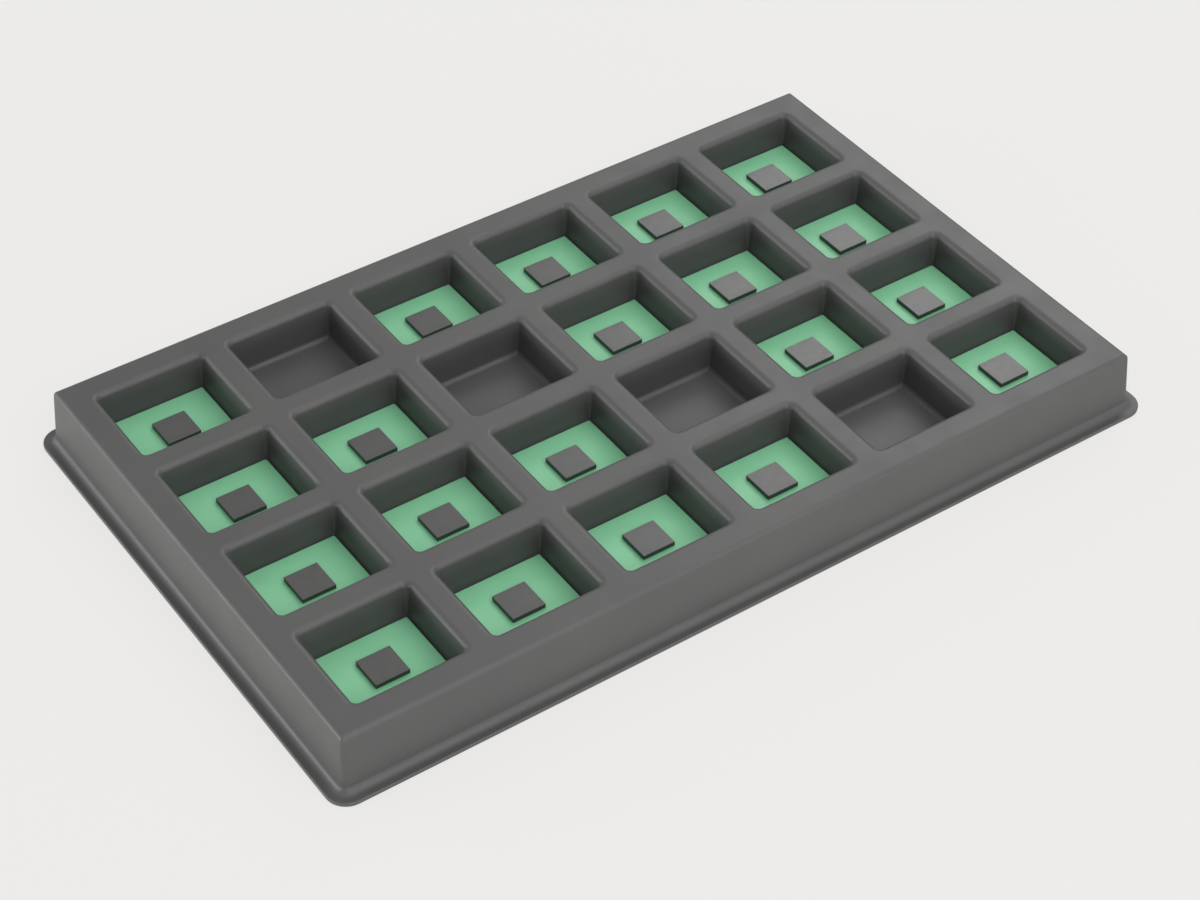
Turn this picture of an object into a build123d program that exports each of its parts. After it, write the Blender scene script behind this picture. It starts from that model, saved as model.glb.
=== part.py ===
"""Electronics handling tray: one formed sheet with a grid of drafted pockets, most of them with a board."""

import os
from math import cos, radians, sqrt, tan

from build123d import *

# Contents, in millimetres
board_length = 35.0
board_width = 30.0
board_thickness = 1.0
chip_side = 12.0
chip_height = 1.7

# Sheet that the tray is formed from
sheet = 1.5

# Pockets: each board sits by its lower edges on a bevel that runs round the pocket floor
columns = 6
rows = 4
pocket_depth = 13.9
pocket_draft = 7.5
pocket_corner = 0.4
bevel_slope = 45.0
seat_height = 0.6
seat_clearance = 0.1
bevel_above_seat = 0.4
column_rib = 9.6
row_rib = 9.4
rim_radius = 1.4

# Skirt and flange
border = 10.4
skirt_draft = 5.0
skirt_corner_land = 0.2
base_radius = 1.6
flange_land = 2.7
flange_corner = 7.3
floor_gap = 7.5

# Pockets that hold no board, by row and column, counted from the front left
empty_pockets = ["r1c5", "r2c4", "r3c3", "r4c2"]

# Heights above the underside of the flange, where floor_gap is the space under each pocket
floor_level = floor_gap + sheet
tray_height = floor_level + pocket_depth
board_level = floor_level + seat_height
chip_level = board_level + board_thickness

# Pocket plan at its floor, at the foot of its walls and at its rim
bevel_height = seat_height + bevel_above_seat
seat_spread = seat_height / tan(radians(bevel_slope))
bevel_spread = bevel_height / tan(radians(bevel_slope))
floor_length = board_length + 2 * (seat_clearance - seat_spread)
floor_width = board_width + 2 * (seat_clearance - seat_spread)
wall_length = floor_length + 2 * bevel_spread
wall_width = floor_width + 2 * bevel_spread
wall_level = floor_level + bevel_height
wall_height = pocket_depth - bevel_height
wall_spread = wall_height * tan(radians(pocket_draft))
rim_length = wall_length + 2 * wall_spread
rim_width = wall_width + 2 * wall_spread
column_pitch = rim_length + column_rib
row_pitch = rim_width + row_rib

# Plan of a pocket's underside, one sheet outside its walls, and the bevel round that
shell_growth = sheet / cos(radians(pocket_draft)) - (bevel_height + sheet) * tan(radians(pocket_draft))
shell_length = wall_length + 2 * shell_growth
shell_width = wall_width + 2 * shell_growth
shell_corner = pocket_corner + shell_growth
shell_bevel = bevel_spread + shell_growth - sheet * tan(radians(bevel_slope / 2))

# Skirt plan at the top land and at its foot, and the flange round it
top_length = (columns - 1) * column_pitch + rim_length + 2 * border
top_width = (rows - 1) * row_pitch + rim_width + 2 * border
skirt_height = tray_height - sheet
skirt_spread = skirt_height * tan(radians(skirt_draft))
skirt_length = top_length + 2 * skirt_spread
skirt_width = top_width + 2 * skirt_spread
skirt_corner = rim_radius + skirt_corner_land + skirt_spread
flange_length = skirt_length + 2 * (base_radius + flange_land)
flange_width = skirt_width + 2 * (base_radius + flange_land)

# Plan of the hollow between the skirt's inner faces, at the flange's underside
hollow_growth = sheet * tan(radians(skirt_draft)) - sheet / cos(radians(skirt_draft))
hollow_length = skirt_length + 2 * hollow_growth
hollow_width = skirt_width + 2 * hollow_growth
hollow_corner = skirt_corner - sheet
under_radius = base_radius + sheet


def corner_flat(radius, lean=0):
    """Chamfer, measured on walls that lean, whose flat touches a corner's radius at its middle."""
    slope = tan(radians(lean))
    return radius * (2 - sqrt(2)) * sqrt((1 + slope**2) / (1 + 2 * slope**2))


# The space over one pocket's floor, up to the top of the bevel
with BuildPart() as floor_space:
    with BuildSketch(Plane.XY.offset(floor_level)):
        Rectangle(floor_length, floor_width)
    extrude(amount=bevel_height)
    bevel_faces = floor_space.faces().filter_by(Axis.Z, reverse=True)
    draft(bevel_faces, Plane.XY.offset(floor_level), bevel_slope - 90)
    chamfer(floor_space.edges().group_by(Axis.Z)[1], corner_flat(pocket_corner, 90 - bevel_slope))

# The whole space inside one pocket, with its drafted walls
with BuildPart() as cavity:
    with BuildSketch(Plane.XY.offset(wall_level)) as wall_plan:
        Rectangle(wall_length, wall_width)
        chamfer(wall_plan.vertices(), corner_flat(pocket_corner))
    extrude(amount=wall_height)
    wall_faces = cavity.faces().filter_by(Axis.Z, reverse=True)
    draft(wall_faces, Plane.XY.offset(wall_level), -pocket_draft)
    add(floor_space.part)

# The outside of one pocket, as it hangs below the top land
with BuildPart() as shell:
    with BuildSketch(Plane.XY.offset(floor_gap)) as shell_plan:
        Rectangle(shell_length, shell_width)
        chamfer(shell_plan.vertices(), corner_flat(shell_corner))
    extrude(amount=pocket_depth)
    shell_faces = shell.faces().filter_by(Axis.Z, reverse=True)
    draft(shell_faces, Plane.XY.offset(floor_gap), -pocket_draft)
    chamfer(shell.faces().sort_by(Axis.Z)[0].edges(), shell_bevel)

# The hollow below the sheet: the space inside the skirt, less the pockets that hang in it
with BuildPart() as hollow:
    with BuildSketch() as hollow_plan:
        Rectangle(hollow_length, hollow_width)
        chamfer(hollow_plan.vertices(), corner_flat(hollow_corner))
    extrude(amount=skirt_height)
    draft(hollow.faces().filter_by(Axis.Z, reverse=True), Plane.XY, skirt_draft)
    with GridLocations(column_pitch, row_pitch, columns, rows):
        add(shell.part, mode=Mode.SUBTRACT)

# The tray: flange and skirt, then the pockets with their rims, then the hollow below
with BuildPart() as tray:
    with BuildSketch(Plane.XY.offset(sheet)):
        RectangleRounded(skirt_length, skirt_width, skirt_corner)
    extrude(amount=skirt_height)
    skirt_faces = tray.faces().filter_by(Axis.Z, reverse=True)
    draft(skirt_faces, Plane.XY.offset(sheet), skirt_draft)
    with BuildSketch():
        RectangleRounded(flange_length, flange_width, flange_corner)
    extrude(amount=sheet)
    flange_top = tray.faces().filter_by(Axis.Z).sort_by(Axis.Z)[1]
    fillet(flange_top.inner_wires()[0].edges(), base_radius)
    with GridLocations(column_pitch, row_pitch, columns, rows):
        add(cavity.part, mode=Mode.SUBTRACT)
    top_land = tray.faces().sort_by(Axis.Z)[-1]
    fillet(top_land.edges(), rim_radius)
    add(hollow.part, mode=Mode.SUBTRACT)
    underside = tray.faces().sort_by(Axis.Z)[0]
    chamfer(underside.inner_wires()[0].edges(), corner_flat(under_radius))

os.makedirs("parts", exist_ok=True)
tray.part.label = "tray"
export_step(tray.part, "parts/tray.step")

# Boards and their chips, one of each to a filled pocket
for row in range(1, rows + 1):
    for column in range(1, columns + 1):
        place = f"r{row}c{column}"
        if place in empty_pockets:
            continue
        centre_x = (column - (columns + 1) / 2) * column_pitch
        centre_y = (row - (rows + 1) / 2) * row_pitch

        with BuildPart() as board:
            with BuildSketch(Plane((centre_x, centre_y, board_level))) as board_plan:
                Rectangle(board_length, board_width)
                chamfer(board_plan.vertices(), corner_flat(pocket_corner))
            extrude(amount=board_thickness)
        board.part.label = f"board_{place}"
        export_step(board.part, f"parts/board_{place}.step")

        with BuildPart() as chip:
            with BuildSketch(Plane((centre_x, centre_y, chip_level))):
                Rectangle(chip_side, chip_side)
            extrude(amount=chip_height)
        chip.part.label = f"chip_{place}"
        export_step(chip.part, f"parts/chip_{place}.step")
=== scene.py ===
import math

import bmesh
import bpy
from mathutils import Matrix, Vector


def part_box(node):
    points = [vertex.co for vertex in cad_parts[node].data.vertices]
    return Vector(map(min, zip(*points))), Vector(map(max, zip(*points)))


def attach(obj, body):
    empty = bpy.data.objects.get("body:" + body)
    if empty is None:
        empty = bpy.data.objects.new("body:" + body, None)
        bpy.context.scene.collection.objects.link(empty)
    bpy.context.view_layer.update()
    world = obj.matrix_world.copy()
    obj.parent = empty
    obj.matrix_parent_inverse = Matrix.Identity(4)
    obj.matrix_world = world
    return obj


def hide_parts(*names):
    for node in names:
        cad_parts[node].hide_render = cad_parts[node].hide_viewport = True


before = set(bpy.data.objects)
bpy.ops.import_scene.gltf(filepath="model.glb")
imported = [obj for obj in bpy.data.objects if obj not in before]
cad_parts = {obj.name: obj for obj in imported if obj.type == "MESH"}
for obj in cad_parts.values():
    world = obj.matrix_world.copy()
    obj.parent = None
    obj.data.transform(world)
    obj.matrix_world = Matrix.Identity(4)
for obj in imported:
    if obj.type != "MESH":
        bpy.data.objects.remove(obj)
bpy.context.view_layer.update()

sheet = 0.0015
pocket_draft = math.radians(7.5)
pocket_rim_radius = 0.0023
pocket_floor_radius = 0.0019
pocket_corner = 0.00027
pocket_foot_gap = 0.000368
seat_height = 0.0006
skirt_draft = math.radians(5.0)
skirt_rim_radius = 0.0019
skirt_base_radius = 0.0026
skirt_foot_inset = 0.0043
skirt_corner = 0.0030
skirt_band = 0.006
cut_edge_radius = 0.00035

flat_collar = 0.0008
smallest_corner = 0.0001
corner_steps = 8
arc_steps = 8
flat_face_weight = 80
outwards = 1
inwards = -1

tray_low, tray_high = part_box("tray")
first_board_low, first_board_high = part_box("board_r1c1")
next_board_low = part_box("board_r1c2")[0]
upper_board_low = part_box("board_r2c1")[0]
first_pocket = (first_board_low + first_board_high) / 2
pitch_x = next_board_low.x - first_board_low.x
pitch_y = upper_board_low.y - first_board_low.y
columns = round(-2 * first_pocket.x / pitch_x) + 1
rows = round(-2 * first_pocket.y / pitch_y) + 1
land_level = tray_high.z
floor_level = first_board_low.z - seat_height
flange_level = tray_low.z + sheet
pocket_half = (first_board_high - first_board_low) / 2 + Vector((pocket_foot_gap, pocket_foot_gap, 0))
skirt_half = (tray_high - tray_low) / 2 - Vector((skirt_foot_inset, skirt_foot_inset, 0))


def arc(out, level, radius, start, end):
    """Points of an arc in the upright section, as distance outwards and level, between angles in degrees."""
    points = []
    for step in range(arc_steps + 1):
        angle = math.radians(start + (end - start) * step / arc_steps)
        points.append((out + radius * math.cos(angle), level + radius * math.sin(angle)))
    return points


def wall_section(foot_out, foot_level, top_level, draft, landward, top_radius, foot_radius):
    """Section of a drafted wall from the land down, with a round above and below, as distance out and level.

    Landward says whether the land lies outwards or inwards of the wall.
    """
    lean = math.degrees(draft)
    tangent = math.tan((math.radians(90) - draft) / 2)
    top_reach = (top_level - foot_level) * math.tan(draft) + top_radius * tangent
    foot_reach = -foot_radius * tangent
    section = [(top_reach + flat_collar, top_level)]
    section += arc(top_reach, top_level - top_radius, top_radius, 90, 180 - lean)
    section += arc(foot_reach, foot_level + foot_radius, foot_radius, -lean, -90)
    section.append((foot_reach - flat_collar, foot_level))
    return [(foot_out + landward * reach, level) for reach, level in section]


def under_section(foot_level, draft, landward, top_radius, foot_radius):
    """The underside of a wall that has these rounds on top, one sheet away from it."""
    shift = landward * sheet * (1 - math.sin(draft)) / math.cos(draft)
    top_level = land_level - sheet
    return wall_section(
        shift, foot_level - sheet, top_level, draft, landward, top_radius - sheet, foot_radius + sheet
    )


def section_rings(mesh, centre, half, corner, section):
    """A level ring of vertices for each point of a section, each along a rectangle with round corners."""
    rings = []
    for out, level in section:
        radius = max(corner + out, smallest_corner)
        ring = []
        for quarter, (side_x, side_y) in enumerate([(1, 1), (-1, 1), (-1, -1), (1, -1)]):
            for step in range(corner_steps + 1):
                angle = math.radians(90) * (quarter + step / corner_steps)
                x = centre.x + side_x * (half.x + out - radius) + radius * math.cos(angle)
                y = centre.y + side_y * (half.y + out - radius) + radius * math.sin(angle)
                ring.append(mesh.verts.new((x, y, level)))
        rings.append(ring)
    return rings


def skin(mesh, rings):
    """Joins each ring to the next with a band of faces."""
    for first, second in zip(rings, rings[1:]):
        for index in range(len(first)):
            beside = (index + 1) % len(first)
            mesh.faces.new((first[index], first[beside], second[beside], second[index]))


def fill_land(mesh, rings):
    """Fills the flat between the outer ring and the rings of the pockets."""
    edges = []
    for ring in rings:
        for index in range(len(ring)):
            edges.append(mesh.edges.get((ring[index], ring[(index + 1) % len(ring)])))
    bmesh.ops.triangle_fill(mesh, use_beauty=True, edges=edges, normal=(0, 0, 1))


def finish_piece(name, mesh):
    """Turns a mesh into an object with smooth rounds, whose flat faces still shade as flats."""
    bmesh.ops.recalc_face_normals(mesh, faces=mesh.faces)
    for face in mesh.faces:
        face.smooth = True
    data = bpy.data.meshes.new(name)
    mesh.to_mesh(data)
    mesh.free()
    piece = bpy.data.objects.new(name, data)
    bpy.context.scene.collection.objects.link(piece)
    flats = piece.modifiers.new("flats stay flat", "WEIGHTED_NORMAL")
    flats.weight = flat_face_weight
    return piece


sheet_mesh = bmesh.new()

# Down the outside of the skirt, round the cut edge of the flange and back up under the skirt
cut_out = skirt_foot_inset - cut_edge_radius
cut_edge = arc(cut_out, flange_level - cut_edge_radius, cut_edge_radius, 90, 0)
cut_edge += arc(cut_out, tray_low.z + cut_edge_radius, cut_edge_radius, 0, -90)
skirt_top = wall_section(
    0, flange_level, land_level, skirt_draft, inwards, skirt_rim_radius, skirt_base_radius
)
skirt_under = under_section(flange_level, skirt_draft, inwards, skirt_rim_radius, skirt_base_radius)
skirt_section = skirt_top + cut_edge + list(reversed(skirt_under))
skirt_rings = section_rings(sheet_mesh, Vector((0, 0, 0)), skirt_half, skirt_corner, skirt_section)
skin(sheet_mesh, skirt_rings)
land_rings = [skirt_rings[0]]
under_land_rings = [skirt_rings[-1]]

# Each pocket down from the land, and the same pocket from below
pocket_top = wall_section(
    0, floor_level, land_level, pocket_draft, outwards, pocket_rim_radius, pocket_floor_radius
)
pocket_under = under_section(floor_level, pocket_draft, outwards, pocket_rim_radius, pocket_floor_radius)
for row in range(rows):
    for column in range(columns):
        centre = first_pocket + Vector((column * pitch_x, row * pitch_y, 0))
        for section, open_rings in ((pocket_top, land_rings), (pocket_under, under_land_rings)):
            rings = section_rings(sheet_mesh, centre, pocket_half, pocket_corner, section)
            skin(sheet_mesh, rings)
            sheet_mesh.faces.new(rings[-1])
            open_rings.append(rings[0])

fill_land(sheet_mesh, land_rings)
fill_land(sheet_mesh, under_land_rings)
tray = finish_piece("formed_tray", sheet_mesh)

cloud_middle = (0.3, 0.7)
sheet_tones = ((0.071, 0.071, 0.071), (0.079, 0.078, 0.077))
sheet_roughness = (0.42, 0.50)
sheet_ior = 1.5
# painted shade: how much darker the steep walls of the pockets are painted
painted_wall_shade = (0.88, 0.86, 0.87)
sheet_tone_cloud = 0.030
sheet_sheen_cloud = 0.012
mould_wave = 0.016
mould_wave_depth = 0.00004
mould_wave_strength = 0.6
sheet_grain = 0.0004
sheet_grain_depth = 0.00001
sheet_grain_strength = 0.5


def new_material(name):
    """A material with its node tree and its shader."""
    material = bpy.data.materials.new(name)
    material.use_nodes = True
    tree = material.node_tree
    return material, tree, tree.nodes["Principled BSDF"]


def place_on_object(tree):
    """Where a point lies on its object, in metres."""
    return tree.nodes.new("ShaderNodeTexCoord").outputs["Object"]


def clouds(tree, size, detail):
    """Cloud texture whose patches are about size metres across."""
    cloud = tree.nodes.new("ShaderNodeTexNoise")
    cloud.inputs["Scale"].default_value = 1 / size
    cloud.inputs["Detail"].default_value = detail
    tree.links.new(place_on_object(tree), cloud.inputs["Vector"])
    return cloud.outputs["Fac"]


def spread(tree, value, low, high):
    """Carries the middle range of a cloud, where most of it lies, over to a range of values."""
    fit = tree.nodes.new("ShaderNodeMapRange")
    fit.inputs["From Min"].default_value, fit.inputs["From Max"].default_value = cloud_middle
    fit.inputs["To Min"].default_value = low
    fit.inputs["To Max"].default_value = high
    tree.links.new(value, fit.inputs["Value"])
    return fit.outputs["Result"]


def two_tone(tree, cloud, tones):
    """Mixes two near colours, dark and pale, by a cloud."""
    dark, pale = tones
    mix = tree.nodes.new("ShaderNodeMix")
    mix.data_type = "RGBA"
    mix.inputs["A"].default_value = (*dark, 1)
    mix.inputs["B"].default_value = (*pale, 1)
    tree.links.new(spread(tree, cloud, 0, 1), mix.inputs["Factor"])
    return mix.outputs["Result"]


def arithmetic(tree, operation, *values):
    """One step of arithmetic in a shader, where each value is a decimal number or a node's output."""
    step = tree.nodes.new("ShaderNodeMath")
    step.operation = operation
    for socket, value in zip(step.inputs, values):
        if isinstance(value, float):
            socket.default_value = value
        else:
            tree.links.new(value, socket)
    return step.outputs["Value"]


def part_of(tree, vector, axis):
    """One of the three parts of a vector, without its sign."""
    parts = tree.nodes.new("ShaderNodeSeparateXYZ")
    tree.links.new(vector, parts.inputs["Vector"])
    return arithmetic(tree, "ABSOLUTE", parts.outputs[axis])


def steepness(tree):
    """Nought on a level face and one on an upright face."""
    normal = tree.nodes.new("ShaderNodeNewGeometry").outputs["Normal"]
    return arithmetic(tree, "SUBTRACT", 1.0, part_of(tree, normal, "Z"))


def darker(tree, colour, shade, amount):
    """Multiplies a colour by a shade as far as an amount between nought and one says."""
    mix = tree.nodes.new("ShaderNodeMix")
    mix.data_type = "RGBA"
    mix.blend_type = "MULTIPLY"
    mix.inputs["B"].default_value = (*shade, 1)
    tree.links.new(colour, mix.inputs["A"])
    tree.links.new(amount, mix.inputs["Factor"])
    return mix.outputs["Result"]


def relief(tree, height, depth, strength, under=None):
    """Bump of a real depth, which may lie over another one."""
    bump = tree.nodes.new("ShaderNodeBump")
    bump.inputs["Distance"].default_value = depth
    bump.inputs["Strength"].default_value = strength
    tree.links.new(height, bump.inputs["Height"])
    if under:
        tree.links.new(under, bump.inputs["Normal"])
    return bump.outputs["Normal"]


polystyrene, tree, shader = new_material("formed_polystyrene")
colour = two_tone(tree, clouds(tree, sheet_tone_cloud, detail=3), sheet_tones)

# Painted shade: the steep walls of the pockets are painted a little darker to match the photo, and the
# skirt's band is left out
painted_wall_shade_amount = steepness(tree)
place = place_on_object(tree)
for axis, reach in (("X", skirt_half.x - skirt_band), ("Y", skirt_half.y - skirt_band)):
    within = arithmetic(tree, "LESS_THAN", part_of(tree, place, axis), reach)
    painted_wall_shade_amount = arithmetic(tree, "MULTIPLY", painted_wall_shade_amount, within)
tree.links.new(darker(tree, colour, painted_wall_shade, painted_wall_shade_amount), shader.inputs["Base Color"])

sheen = spread(tree, clouds(tree, sheet_sheen_cloud, detail=4), *sheet_roughness)
tree.links.new(sheen, shader.inputs["Roughness"])
waves = relief(tree, clouds(tree, mould_wave, detail=1), mould_wave_depth, mould_wave_strength)
grain = relief(tree, clouds(tree, sheet_grain, detail=2), sheet_grain_depth, sheet_grain_strength, waves)
tree.links.new(grain, shader.inputs["Normal"])
shader.inputs["IOR"].default_value = sheet_ior

tray.data.materials.append(polystyrene)
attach(tray, "root")
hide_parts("tray")

# The boards are plain glass-epoxy blanks under green solder mask, cut out one by one with a router, so their
# corners are slightly round. Each lies loose on the round at the foot of its pocket's walls.
board_corner = 0.0006
mask_edge = 0.00008
mask_tones = ((0.209, 0.559, 0.314), (0.227, 0.587, 0.336))
mask_roughness = (0.40, 0.48)
mask_tone_cloud = 0.009
mask_sheen_cloud = 0.004
glass_thread = 0.00045
weave_depth = 0.000008
weave_strength = 0.4

board_names = sorted(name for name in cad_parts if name.startswith("board_"))


def slab(name, low, high, corner, eased):
    """A flat slab with round corners and small rounds along its top and bottom edges."""
    mesh = bmesh.new()
    centre = (low + high) / 2
    half = (high - low) / 2
    shoulder = eased / 3
    side = [(-2 * eased, low.z), (-eased, low.z), (-shoulder, low.z + shoulder), (0, low.z + eased)]
    side += [(0, high.z - eased), (-shoulder, high.z - shoulder), (-eased, high.z), (-2 * eased, high.z)]
    rings = section_rings(mesh, centre, half, corner, side)
    skin(mesh, rings)
    mesh.faces.new(reversed(rings[0]))
    mesh.faces.new(rings[-1])
    return finish_piece(name, mesh)


mask, tree, shader = new_material("solder_mask")
colour = two_tone(tree, clouds(tree, mask_tone_cloud, detail=2), mask_tones)
tree.links.new(colour, shader.inputs["Base Color"])
sheen = spread(tree, clouds(tree, mask_sheen_cloud, detail=3), *mask_roughness)
tree.links.new(sheen, shader.inputs["Roughness"])
weave = relief(tree, clouds(tree, glass_thread, detail=0), weave_depth, weave_strength)
tree.links.new(weave, shader.inputs["Normal"])

for name in board_names:
    low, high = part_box(name)
    board = slab(name.replace("board", "blank"), low, high, board_corner, mask_edge)
    board.data.materials.append(mask)
    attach(board, "root")
    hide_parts(name)

# The chips are square bodies of moulded epoxy, soldered flat to the middle of each board. Their edges are
# crisp, their tops have the fine matt grain of the mould, and their sides are painted dark, a painted shade
# to match the photo.
body_corner = 0.00012
body_edge = 0.00010
body_tones = ((0.081, 0.079, 0.078), (0.091, 0.089, 0.088))
body_roughness = (0.28, 0.34)
body_tone_cloud = 0.003
body_sheen_cloud = 0.002
# painted shade on the chips' upright sides
painted_side_shade = (0.35, 0.38, 0.36)
body_grain = 0.00025
body_grain_depth = 0.000008
body_grain_strength = 0.5

epoxy, tree, shader = new_material("moulded_epoxy")
colour = two_tone(tree, clouds(tree, body_tone_cloud, detail=3), body_tones)
tree.links.new(darker(tree, colour, painted_side_shade, steepness(tree)), shader.inputs["Base Color"])
sheen = spread(tree, clouds(tree, body_sheen_cloud, detail=3), *body_roughness)
tree.links.new(sheen, shader.inputs["Roughness"])
grain = relief(tree, clouds(tree, body_grain, detail=2), body_grain_depth, body_grain_strength)
tree.links.new(grain, shader.inputs["Normal"])

for name in board_names:
    node = name.replace("board", "chip")
    low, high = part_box(node)
    chip = slab(node.replace("chip", "package"), low, high, body_corner, body_edge)
    chip.data.materials.append(epoxy)
    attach(chip, "root")
    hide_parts(node)

# The tray stands on a wide pale bench that runs out of the picture on every side. Seen directly or reflected
# it is an even tone, with a part of its real shading kept, so that the tray's shadow shows softly.
bench_reach = 20.0
bench_colour = (0.831, 0.823, 0.807)
bench_roughness = 0.8
bench_evenness = 0.87

bench_mesh = bmesh.new()
bmesh.ops.create_grid(bench_mesh, x_segments=1, y_segments=1, size=bench_reach)
bench_data = bpy.data.meshes.new("bench")
bench_mesh.to_mesh(bench_data)
bench_mesh.free()
bench = bpy.data.objects.new("bench", bench_data)
bench.location.z = tray_low.z
bpy.context.scene.collection.objects.link(bench)

laminate, tree, shader = new_material("bench_top")
shader.inputs["Base Color"].default_value = (*bench_colour, 1)
shader.inputs["Roughness"].default_value = bench_roughness
shader.inputs["Specular IOR Level"].default_value = 0.0
even_tone = tree.nodes.new("ShaderNodeEmission")
even_tone.inputs["Color"].default_value = (*bench_colour, 1)
rays = tree.nodes.new("ShaderNodeLightPath")
seen = rays.outputs["Is Camera Ray"]
for ray in ("Is Glossy Ray", "Is Transmission Ray"):
    seen = arithmetic(tree, "MAXIMUM", seen, rays.outputs[ray])
blend = tree.nodes.new("ShaderNodeMixShader")
tree.links.new(arithmetic(tree, "MULTIPLY", seen, bench_evenness), blend.inputs["Fac"])
tree.links.new(shader.outputs["BSDF"], blend.inputs[1])
tree.links.new(even_tone.outputs["Emission"], blend.inputs[2])
tree.links.new(blend.outputs["Shader"], tree.nodes["Material Output"].inputs["Surface"])
bench_data.materials.append(laminate)

# The light is an even pale dome with large softboxes round the bench. The higher ones light the land and the
# floors of the pockets, and the low strips light the skirt without reaching down the walls of the pockets.
dome_colour = (1.0, 1.0, 0.99)
dome_strength = 0.48
lamp_distance = 1.6

world = bpy.data.worlds.new("pale_dome")
world.use_nodes = True
dome = world.node_tree.nodes["Background"]
dome.inputs["Color"].default_value = (*dome_colour, 1)
dome.inputs["Strength"].default_value = dome_strength
bpy.context.scene.world = world


def softbox(name, azimuth, elevation, width, height, watts):
    """A soft lamp that looks at the tray, its azimuth in degrees from the far side round to the right."""
    across = math.radians(azimuth)
    up = math.radians(elevation)
    data = bpy.data.lights.new(name, "AREA")
    data.shape = "RECTANGLE"
    data.size = width
    data.size_y = height
    data.energy = watts
    lamp = bpy.data.objects.new(name, data)
    lamp.location = Vector((math.sin(across) * math.cos(up), math.cos(across) * math.cos(up), math.sin(up)))
    lamp.location *= lamp_distance
    lamp.rotation_euler = (-lamp.location).to_track_quat("-Z", "Y").to_euler()
    bpy.context.scene.collection.objects.link(lamp)


softbox("front_softbox", azimuth=172, elevation=46, width=1.4, height=0.9, watts=10.6)
softbox("top_softbox", azimuth=90, elevation=72, width=1.2, height=1.2, watts=5.2)
softbox("right_softbox", azimuth=52, elevation=38, width=0.8, height=0.55, watts=4.8)
softbox("left_softbox", azimuth=322, elevation=16, width=1.1, height=0.6, watts=5.0)
softbox("left_strip", azimuth=286, elevation=5, width=1.4, height=0.24, watts=13.5)
softbox("front_strip", azimuth=188, elevation=6, width=1.3, height=0.28, watts=6.4)
softbox("right_strip", azimuth=135, elevation=7, width=1.0, height=0.3, watts=1.6)

# The camera stands at the near left, where the photo was taken, and looks down over the front left corner.
# Its lens is about that of a portrait.
camera_place = Vector((-0.39869, -0.58251, 0.62352))
camera_aim = Vector((-0.01360, -0.02275, 0.01230))
camera_roll = math.radians(0.072)
camera_lens = 83.79
camera_sensor = 36.0

camera_data = bpy.data.cameras.new("camera")
camera_data.lens = camera_lens
camera_data.sensor_width = camera_sensor
camera = bpy.data.objects.new("camera", camera_data)
camera.location = camera_place
camera.rotation_euler = (camera_aim - camera_place).to_track_quat("-Z", "Y").to_euler()
camera.rotation_euler.rotate_axis("Z", camera_roll)
bpy.context.scene.collection.objects.link(camera)
bpy.context.scene.camera = camera
bpy.context.scene.view_settings.view_transform = "Standard"
